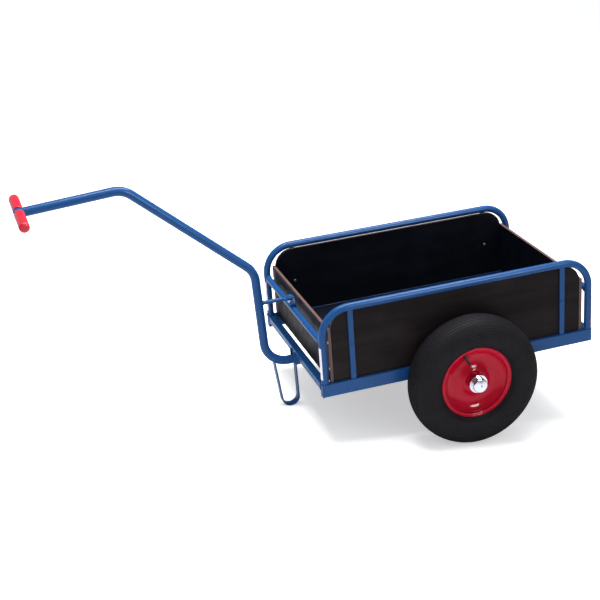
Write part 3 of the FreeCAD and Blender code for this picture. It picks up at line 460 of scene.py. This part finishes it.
def tube_along(bm, points, radii, sides, closed):
    """A round bead through the points, with its own radius at each."""
    rings = rings_along(bm, points, radii, sides, closed)
    for this, following in zip(rings, rings[1:]):
        skin(bm, this, following)
    if closed:
        last, first = rings[-1], rings[0]
        shift = min(range(sides), key=lambda n: (last[0].co - first[n].co).length)
        skin(bm, last, first, shift)
    else:
        bm.faces.new(rings[0])
        bm.faces.new(list(reversed(rings[-1])))


def swept_tube(bm, points, radius, wall, sides=56):
    """A bent tube with open ends."""
    outer = rings_along(bm, points, [radius] * len(points), sides)
    inner = rings_along(bm, points, [radius - wall] * len(points), sides)
    for rings in (outer, inner):
        for this, following in zip(rings, rings[1:]):
            skin(bm, this, following)
    skin(bm, outer[0], inner[0])
    skin(bm, outer[-1], inner[-1])


def bent_path(corners, bend, y=0.0, steps=24):
    """Straight runs of the bed frame's (x, z) joined by bends, as points of the row frame."""
    flat = [Vector(corner) for corner in corners]
    points = [flat[0]]
    for before, corner, after in zip(flat, flat[1:], flat[2:]):
        inward = (corner - before).normalized()
        outward = (after - corner).normalized()
        half = inward.angle(outward) / 2
        centre = corner + (outward - inward).normalized() * bend / math.cos(half)
        spoke = corner - inward * bend * math.tan(half) - centre
        turn = math.copysign(2 * half, inward.cross(outward))
        points += [centre + Matrix.Rotation(turn * step / steps, 2) @ spoke for step in range(steps + 1)]
    points.append(flat[-1])
    return [row(point.x, y, point.y) for point in points]


# ---------------------------------------------------------------- weld beads
RIPPLE = 1.7 * MM
BEAD = 2.2 * MM                 # radius of a bead on the frame
weld_random = random.Random(11)

# Where the frame's beads lie, in metres of the bed frame.
LEG_SEAM = 0.6 * MM             # above the side rail
CROSS_SEAM = 0.6 * MM           # inside the leg's surface
UPRIGHT_SEAM = 3.2 * MM         # outboard of the hoop's centre line
AXLE_SEAM = 5.2 * MM            # inboard of the side rail's inner face
# Seams down the side rails' inner faces: the joint's middle, half its width, top and bottom.
RAIL_SEAMS = (
    (0, END_RAIL_HALF, -1 * MM, -21 * MM),
    (BED_LENGTH, END_RAIL_HALF, -1 * MM, -21 * MM),
    (AXLE_X - BEARER_PITCH, BEARER_HALF, -14 * MM, -31 * MM),
    (AXLE_X, BEARER_HALF, -14 * MM, -31 * MM),
    (AXLE_X + BEARER_PITCH, BEARER_HALF, -14 * MM, -31 * MM),
    (AXLE_X, AXLE_PLATE_HALF, -15 * MM, -39 * MM),
)

# Where the drawbar's beads lie, in metres of the bed frame.
CHEEK_SEAMS = (13.8 * MM, 19.2 * MM)
CHEEK_HALF = 10.5 * MM
CHEEK_TOP = -22.3 * MM
BRACKET_EDGE = (7.8 * MM, 12.4 * MM)
BRACKET_HEIGHTS = (137 * MM, 143 * MM)
BRACKET_FOOT = (8.6 * MM, 12 * MM, 135.2 * MM)
BRACE_END = (-105.7 * MM + DRAWBAR_RADIUS - 0.8 * MM, 167 * MM)
BRACE_SEAM_RADIUS = 6.3 * MM
STAND_TOPS = ((-73.6 * MM, -34.1 * MM), (-8.6 * MM, -48.8 * MM))
STAND_SEAM_OUT = 2.2 * MM
STAND_SEAM_HALF = 9 * MM
STAND_SEAM_CLIMB = 0.12         # how fast a stand bead climbs towards its ends


def weld(bm, corners, size=BEAD, closed=False):
    """A fillet weld through the corners, with the ripples that a weld pool leaves."""
    path = list(corners) + ([corners[0]] if closed else [])
    points = []
    for start, end in zip(path, path[1:]):
        count = max(1, round((end - start).length / RIPPLE * 2))
        points += [start.lerp(end, step / count) for step in range(count)]
    if not closed:
        points.append(path[-1])
    radii = []
    for index in range(len(points)):
        ripple = 1 + 0.10 * math.cos(math.pi * index) + weld_random.uniform(-0.05, 0.05)
        radii.append(size * ripple)
    if not closed:
        radii[0] *= 0.6
        radii[-1] *= 0.6
    tube_along(bm, points, radii, 8, closed)


def circle_points(centre, axis, radius, count=28):
    side = axis.orthogonal().normalized()
    other = axis.cross(side)
    points = []
    for index in range(count):
        angle = 2 * math.pi * index / count
        points.append(centre + (side * math.cos(angle) + other * math.sin(angle)) * radius)
    return points


def frame_welds(bm):
    """Round the legs and the axle, at the ends of the uprights and cross tubes, and down the rails."""
    upright = row_direction(0, 0, 1)
    across = row_direction(0, 1, 0)
    rail_face = RAIL_HALF - RAIL_WIDTH / 2
    upright_ends = (0.5 * MM, HOOP_RISE - TUBE_RADIUS - 0.4 * MM)
    for side, _ in SIDES:
        y = side * HOOP_HALF
        for x in (0, BED_LENGTH):
            weld(bm, circle_points(row(x, y, LEG_SEAM), upright, TUBE_RADIUS + 0.5 * MM), closed=True)
            inner = row(x, y - side * (TUBE_RADIUS - CROSS_SEAM), CROSS_RISE)
            weld(bm, circle_points(inner, across, CROSS_RADIUS + 0.3 * MM), 1.9 * MM, True)
        outer = y + side * UPRIGHT_SEAM
        for x in (UPRIGHT_INSET, BED_LENGTH - UPRIGHT_INSET):
            for z in upright_ends:
                weld(bm, [row(x - UPRIGHT_HALF, outer, z), row(x + UPRIGHT_HALF, outer, z)], 1.7 * MM)
        for x, half, top, bottom in RAIL_SEAMS:
            for edge in (x - half, x + half):
                weld(bm, [row(edge, side * rail_face, top), row(edge, side * rail_face, bottom)])
        through = row(AXLE_X, side * (rail_face - AXLE_SEAM), -AXLE_DROP)
        weld(bm, circle_points(through, across, AXLE_RADIUS + 0.5 * MM), 2.1 * MM, True)


def drawbar_welds(bm):
    """On the cheeks under the front rail, the bracket, the brace and the two legs of the stand."""
    edge_x, edge_y = BRACKET_EDGE
    for side, _ in SIDES:
        for y in CHEEK_SEAMS:
            ends = [row(x, side * y, CHEEK_TOP) for x in (-CHEEK_HALF, CHEEK_HALF)]
            weld(bm, ends, 1.7 * MM)
        weld(bm, [row(edge_x, side * edge_y, z) for z in BRACKET_HEIGHTS], 1.5 * MM)
    foot_x, foot_half, foot_z = BRACKET_FOOT
    weld(bm, [row(foot_x, -foot_half, foot_z), row(foot_x, foot_half, foot_z)], 1.8 * MM)
    rod_end = row(BRACE_END[0], 0, BRACE_END[1])
    weld(bm, circle_points(rod_end, row_direction(1, 0, 0), BRACE_SEAM_RADIUS, 20), 1.7 * MM, True)
    for x, z in STAND_TOPS:
        for offset in (-STAND_SEAM_OUT, STAND_SEAM_OUT):
            ends = [row(x + offset, y, z + abs(y) * STAND_SEAM_CLIMB)
                    for y in (-STAND_SEAM_HALF, 0, STAND_SEAM_HALF)]
            weld(bm, ends, 1.6 * MM)


def bent_tubes():
    """The side hoops and the drawbar, swept smoothly so that their long highlights run unbroken."""
    hoop = ((0, 0), (0, HOOP_RISE), (BED_LENGTH, HOOP_RISE), (BED_LENGTH, 0))
    runs = [("side_hoop_" + name, hoop, HOOP_BEND, side * HOOP_HALF, TUBE_RADIUS, TUBE_WALL)
            for side, name in SIDES]
    runs.append(("drawbar_tube", DRAWBAR_CORNERS, DRAWBAR_BEND, 0, DRAWBAR_RADIUS, DRAWBAR_WALL))
    for node, corners, bend, y, radius, wall in runs:
        path = bent_path(corners, bend, y)
        mesh = mesh_from(node + "_sweep", lambda bm: swept_tube(bm, path, radius, wall))
        piece = finish_piece(node + "_sweep", mesh, PAINT, "frame_paint", "cart")
        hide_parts(node)


def weld_beads():
    for name, build in (("frame_welds", frame_welds), ("drawbar_welds", drawbar_welds)):
        finish_piece(name, mesh_from(name, build, 80), PAINT, "frame_paint", "cart")


# ---------------------------------------------------------------- wheels
def wheel_matrix(side, name):
    """The wheel's own frame: y points outboard, as in the CAD."""
    turn = Matrix.Identity(4) if side == RIGHT else Matrix.Rotation(math.pi, 4, "Z")
    return Matrix.Translation(HUB[name]) @ STANCE_TURN @ turn


# Sizes of the wheel, in millimetres. Pairs are (across from the wheel's middle, radius).
FLANGE_FACE = 30.5
FLANGE_RADIUS = 110.5
BEAD_TOP = (FLANGE_FACE + 1, FLANGE_RADIUS + 1.3)
SHOULDER = (36, 192)
WALL_RADIUS = 60.4
CROWN_RADIUS = 85
RIM_GUARD = (121.5, 2.2, 1.6)       # radius, half width and height of the ring near the bead
RIB_RADII = (158, 165, 172, 179, 185.5)
RIB_HALF = 1.7
RIB_HEIGHT = 1.15
RIDGE_SHARE = 0.8                   # of a ridge's height that stands out sideways
TREAD_GROOVES = (-31, -21, -10.5, 0, 10.5, 21, 31)
GROOVE_HALF = 1.7
GROOVE_DEPTH = 3.2
TYRE_BEAD = ((-27.9, 110.9), (-25.2, 107.5), (-25.2, 104.3), (-22.7, 101.8), (-15, 101.8))
CHAMBER_WALL = ((-16, 108), (-33, 126), (-40, 147), (-38, 166), (-27, 184))
CHAMBER_TOP = (0, 189.6)
BOSS_CENTRE = (2, 30)
BOSS_BEND = 14
BOWL_CENTRE = (46.2, 64.5)
BOWL_RADIUS = 42
BOWL_SLOPE = 35                     # degrees, where the boss bend runs into the bowl
BOWL_END = 51                       # degrees, where the bowl reaches the barrel
DISC_HOLE = 23
DISC_SHEET = 3
BARREL_OUTSIDE = ((FLANGE_FACE, FLANGE_RADIUS), (FLANGE_FACE - 2.6, FLANGE_RADIUS),
                  (FLANGE_FACE - 5, FLANGE_RADIUS - 3), (FLANGE_FACE - 5, 104),
                  (FLANGE_FACE - 7, 101.5), (9, 101.5), (6, 90))
BARREL_INSIDE = ((FLANGE_FACE, FLANGE_RADIUS - 2), (FLANGE_FACE - 1.6, FLANGE_RADIUS - 2),
                 (FLANGE_FACE - 3, FLANGE_RADIUS - 3.8), (FLANGE_FACE - 3, 103.2),
                 (FLANGE_FACE - 6, 99.5), (10.4, 99.5), (7.4, 88))
RIM_BEADS = ((19.3, 98.4, 1.5), (16.2, 23.4, 1.4))      # across, radius and size of each bead
TYRE_STEPS = 240
RIM_STEPS = 200
WALL_STEPS = 150
TREAD_STEPS = 144


def mirrored(points):
    """A half section's points on the other side of the wheel's middle, in the same order."""
    return [(-across, radius) for across, radius in points]


def in_metres(points):
    return [(across * MM, radius * MM) for across, radius in points]


def wall_centre():
    """The centre of the sidewall's bulge, which passes through the bead and the shoulder."""
    start, end = Vector(BEAD_TOP), Vector(SHOULDER)
    half = (end - start) / 2
    inward = Vector((-half.y, half.x)).normalized()
    return start + half + inward * math.sqrt(WALL_RADIUS ** 2 - half.length_squared)


def tyre_outline():
    """The case's outside, from one bead over the tread to the other."""
    wall = []
    centre = wall_centre()
    for index in range(WALL_STEPS + 1):
        radius = BEAD_TOP[1] + (SHOULDER[1] - BEAD_TOP[1]) * index / WALL_STEPS
        across = centre.x + math.sqrt(WALL_RADIUS ** 2 - (radius - centre.y) ** 2)
        wall.append((across + RIDGE_SHARE * ridge(radius), radius))
    tread = []
    half_width, edge = SHOULDER
    crown_centre = edge - math.sqrt(CROWN_RADIUS ** 2 - half_width ** 2)
    for index in range(TREAD_STEPS + 1):
        across = half_width - 2 * half_width * index / TREAD_STEPS
        radius = crown_centre + math.sqrt(CROWN_RADIUS ** 2 - across ** 2)
        nearest = min(abs(across - groove) for groove in TREAD_GROOVES)
        tread.append((across, radius - GROOVE_DEPTH * smooth_step(1 - nearest / GROOVE_HALF)))
    return wall[:-1] + tread + mirrored(reversed(wall))[1:]


def smooth_step(share):
    share = max(0.0, min(1.0, share))
    return share * share * (3 - 2 * share)


def ridge(radius):
    """Moulded rings on the sidewall: a rim guard near the bead and fine lines below the shoulder."""
    guard_radius, guard_half, guard_height = RIM_GUARD
    height = guard_height * smooth_step(1 - abs(radius - guard_radius) / guard_half)
    for middle in RIB_RADII:
        height += RIB_HEIGHT * smooth_step(1 - abs(radius - middle) / RIB_HALF)
    return height


def tyre(side, name):
    """The case as one closed section: outside, one bead, the air chamber and the other bead."""
    chamber = list(CHAMBER_WALL) + [CHAMBER_TOP] + mirrored(reversed(CHAMBER_WALL))
    outline = tyre_outline() + list(TYRE_BEAD) + chamber + mirrored(reversed(TYRE_BEAD))
    profile = in_metres(outline)
    matrix = wheel_matrix(side, name)
    mesh = mesh_from(name + "_tyre_case", lambda bm: lathe(bm, profile, matrix, TYRE_STEPS), 60)
    piece = finish_piece(name + "_tyre_case", mesh, RUBBER, "tyre_rubber", name + "_wheel")
    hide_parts(name + "_tyre")


def disc_outline():
    """The pressed disc: a flat boss, a convex bend, and one smooth bowl out to the barrel."""
    inner, outer = 180 + BOWL_SLOPE, 180 - BOWL_END
    front = [(BOSS_CENTRE[0] + BOSS_BEND, DISC_HOLE)]
    front += arc_points(BOSS_CENTRE, BOSS_BEND, 0, BOWL_SLOPE, 14)
    front += arc_points(BOWL_CENTRE, BOWL_RADIUS, inner, outer, 48)
    back = arc_points(BOWL_CENTRE, BOWL_RADIUS + DISC_SHEET, outer, inner, 48)
    back += arc_points(BOSS_CENTRE, BOSS_BEND - DISC_SHEET, BOWL_SLOPE, 0, 14)
    return front + back + [(BOSS_CENTRE[0] + BOSS_BEND - DISC_SHEET, DISC_HOLE)]


def rim(side, name):
    """The barrel and the pressed disc, with the soft bends that rolling and pressing leave."""
    matrix = wheel_matrix(side, name)
    outside = list(BARREL_OUTSIDE) + mirrored(reversed(BARREL_OUTSIDE))
    inside = mirrored(BARREL_INSIDE) + list(reversed(BARREL_INSIDE))
    barrel = in_metres(rounded(outside + inside, 1.6, 4))
    disc = in_metres(disc_outline())

    def build(bm):
        lathe(bm, barrel, matrix, RIM_STEPS)
        lathe(bm, disc, matrix, RIM_STEPS)

    mesh = mesh_from(name + "_rim", build, 50)
    piece = finish_piece(name + "_rim", mesh, RED, "rim_paint", name + "_wheel")
    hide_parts(name + "_rim_barrel", name + "_wheel_disc")
    welds = mesh_from(name + "_rim_welds", lambda bm: rim_welds(bm, matrix), 80)
    finish_piece(name + "_rim_welds", welds, RED, "rim_paint", name + "_wheel")


def rim_welds(bm, matrix):
    """One bead where the disc's flange meets the barrel, one where the boss meets the hub tube."""
    for along, radius, size in RIM_BEADS:
        centre = matrix @ Vector((0, along * MM, 0))
        axis = (matrix.to_3x3() @ Vector((0, 1, 0))).normalized()
        weld(bm, circle_points(centre, axis, radius * MM, 72), size * MM, True)


# ---------------------------------------------------------------- carried-over CAD nodes
def dress_cad_nodes():
    """Every CAD node takes its slot's material."""
    slots = {item["node"]: item["material_slot"] for item in frame["record"]["subparts"]}
    for name, item in nodes.items():
        item.data.materials.clear()
        item.data.materials.append(SLOT_MATERIALS[slots[name]])
        item["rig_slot"] = slots[name]


def soften(name, width, segments=2):
    """Join the CAD mesh's split corners and round its sharp edges, as a modifier."""
    item = nodes[name]
    joined = item.modifiers.new("join", "WELD")
    joined.merge_threshold = 1e-6
    bevel = item.modifiers.new("soften", "BEVEL")
    bevel.width = width
    bevel.segments = segments
    bevel.limit_method = "ANGLE"
    bevel.angle_limit = math.radians(40)
    bevel.harden_normals = True


# How wide each piece's sharp edges are rounded, in millimetres.
SOFT_EDGES = {
    "side_rail_left": 1.0, "side_rail_right": 1.0, "front_rail": 1.0, "rear_rail": 1.0,
    "rail_end_plates": 0.5, "floor_bearers": 0.8, "uprights": 0.8, "axle_plates": 0.8,
    "drawbar_cheeks": 0.8, "brace_bracket": 0.6, "stand_loop": 0.8, "board_nuts": 0.4,
    "drawbar_nut": 0.5, "brace_nut": 0.5, "side_board_left": 0.6, "side_board_right": 0.6,
    "front_board": 0.6, "rear_board": 0.6, "floor_board": 0.6,
}

# The direction across each board's thickness, in the bed frame.
BOARD_AXES = {
    "side_board_left": (0, 1, 0), "side_board_right": (0, 1, 0), "front_board": (1, 0, 0),
    "rear_board": (1, 0, 0), "floor_board": (0, 0, 1),
}


def dress_boards():
    """Film on both faces of a board, with a darker, bluer copy of it on the inside face towards the load
    as painted shade, and sealed edges.
    """
    middle = row(BED_LENGTH / 2, 0, 100 * MM)
    for name, axis in BOARD_AXES.items():
        data = nodes[name].data
        data.materials.clear()
        for material in (FILM_OUTSIDE, FILM_INSIDE_SHADED, EDGE):
            data.materials.append(material)
        across = row_direction(*axis)
        for polygon in data.polygons:
            if abs(polygon.normal.dot(across)) < 0.7:
                polygon.material_index = 2
            # Faces towards the load take the darker copy of the film: painted shade.
            elif polygon.normal.dot(middle - polygon.center) > 0:
                polygon.material_index = 1


# ---------------------------------------------------------------- light, floor and camera
FLOOR_GLOW = 0.45       # lifts the floor's shadows for the camera only
FILL = 0.60             # how strongly the room lights the cart
GLOSS_NEAR = 0.22       # strength of the room behind the camera, as gloss sees it
GLOSS_FAR = 0.05        # and of the room beyond the cart
ROOM_SEEN = 1.04        # strength of the room as the camera sees it
GLOSS_BAND = (-0.9, -0.1)       # where across the room gloss fades from near to far
FLOOR_HALF = 60
# Each lamp's place, width, height and power. The key box is seen by gloss only.
LAMPS = {
    "overhead": ((0.2, 0.2, 3.4), 2.6, 1.2, 210),
    "key_box": ((1.45, -3.22, 1.96), 1.05, 1.0, 90),
}

# The camera in the bed frame: where it stands, in metres, and its angles in degrees, turned about the
# upright, tilted up from straight down and rolled about its own line of sight.
CAMERA_PLACE = (-958.2 * MM, -3412.6 * MM, 1688.9 * MM)
CAMERA_TURN = -16.050
CAMERA_TILT = 66.612
CAMERA_ROLL = -4.534
CAMERA_LENS = 76.7
CAMERA_SENSOR = 36


def studio_world():
    """An even white room, which gloss sees as dim, as if black cards stood beyond the cart."""
    world = bpy.data.worlds.new("studio")
    world.use_nodes = True
    tree = world.node_tree
    background = tree.nodes["Background"]
    background.inputs["Color"].default_value = (0.97, 0.98, 1.0, 1)
    path = tree.nodes.new("ShaderNodeLightPath")
    place = tree.nodes.new("ShaderNodeTexCoord")
    parts = tree.nodes.new("ShaderNodeSeparateXYZ")
    tree.links.new(place.outputs["Generated"], parts.inputs["Vector"])
    room = tree.nodes.new("ShaderNodeMapRange")
    tree.links.new(parts.outputs["Y"], room.inputs["Value"])
    room.inputs["From Min"].default_value, room.inputs["From Max"].default_value = GLOSS_BAND
    room.inputs["To Min"].default_value = GLOSS_NEAR
    room.inputs["To Max"].default_value = GLOSS_FAR
    seen = tree.nodes.new("ShaderNodeMapRange")
    tree.links.new(path.outputs["Is Camera Ray"], seen.inputs["Value"])
    seen.inputs["To Min"].default_value = FILL
    seen.inputs["To Max"].default_value = ROOM_SEEN
    strength = tree.nodes.new("ShaderNodeMapRange")
    tree.links.new(path.outputs["Is Glossy Ray"], strength.inputs["Value"])
    tree.links.new(seen.outputs["Result"], strength.inputs["To Min"])
    tree.links.new(room.outputs["Result"], strength.inputs["To Max"])
    tree.links.new(strength.outputs["Result"], background.inputs["Strength"])
    bpy.context.scene.world = world


def studio():
    """A seamless pale floor, a wide soft light above and a key box that draws the highlights."""
    bm = bmesh.new()
    bmesh.ops.create_grid(bm, x_segments=2, y_segments=2, size=FLOOR_HALF)
    mesh = bpy.data.meshes.new("studio_floor")
    bm.to_mesh(mesh)
    bm.free()
    floor = bpy.data.objects.new("studio_floor", mesh)
    bpy.context.scene.collection.objects.link(floor)
    shader = Shader("studio_floor")
    ray = shader.add("ShaderNodeLightPath").outputs
    pale = shader.ramp(shader.noise(0.4, 2), (0.93, 0.93, 0.93), (0.95, 0.95, 0.95))
    shader.set(Base_Color=shader.blend(ray["Is Glossy Ray"], pale, (0.58, 0.60, 0.64, 1)))
    shader.set(Roughness=0.8, Specular_IOR_Level=0.1)
    glow = shader.ramp(ray["Is Camera Ray"], 0.0, FLOOR_GLOW)
    shader.set(Emission_Color=(1, 1, 1, 1), Emission_Strength=glow)
    mesh.materials.append(shader.material)
    studio_world()

    target = row(BED_LENGTH / 3, 0, 100 * MM)
    for name, (place, width, height, power) in LAMPS.items():
        lamp = bpy.data.lights.new(name, "AREA")
        lamp.shape = "RECTANGLE"
        lamp.size = width
        lamp.size_y = height
        lamp.energy = power
        light = bpy.data.objects.new(name, lamp)
        bpy.context.scene.collection.objects.link(light)
        light.location = place
        light.visible_diffuse = name != "key_box"
        light.rotation_euler = (target - light.location).to_track_quat("-Z", "Y").to_euler()


def camera():
    """A long lens from the front left, a little above the load, rolled slightly to the right."""
    data = bpy.data.cameras.new("camera")
    data.sensor_width = CAMERA_SENSOR
    data.lens = CAMERA_LENS
    data.clip_end = 200
    item = bpy.data.objects.new("camera", data)
    bpy.context.scene.collection.objects.link(item)
    turned = Matrix.Rotation(math.radians(CAMERA_TURN), 4, "Z")
    tilted = Matrix.Rotation(math.radians(CAMERA_TILT), 4, "X")
    rolled = Matrix.Rotation(math.radians(CAMERA_ROLL), 4, "Z")
    item.matrix_world = STANCE @ Matrix.Translation(CAMERA_PLACE) @ turned @ tilted @ rolled
    bpy.context.scene.camera = item
    bpy.context.scene.view_settings.view_transform = "Standard"


dress_cad_nodes()
dress_boards()
for node_name, edge_width in SOFT_EDGES.items():
    soften(node_name, edge_width * MM)
bent_tubes()
weld_beads()
for wheel_side, wheel_name in SIDES:
    tyre(wheel_side, wheel_name)
    rim(wheel_side, wheel_name)
studio()
camera()
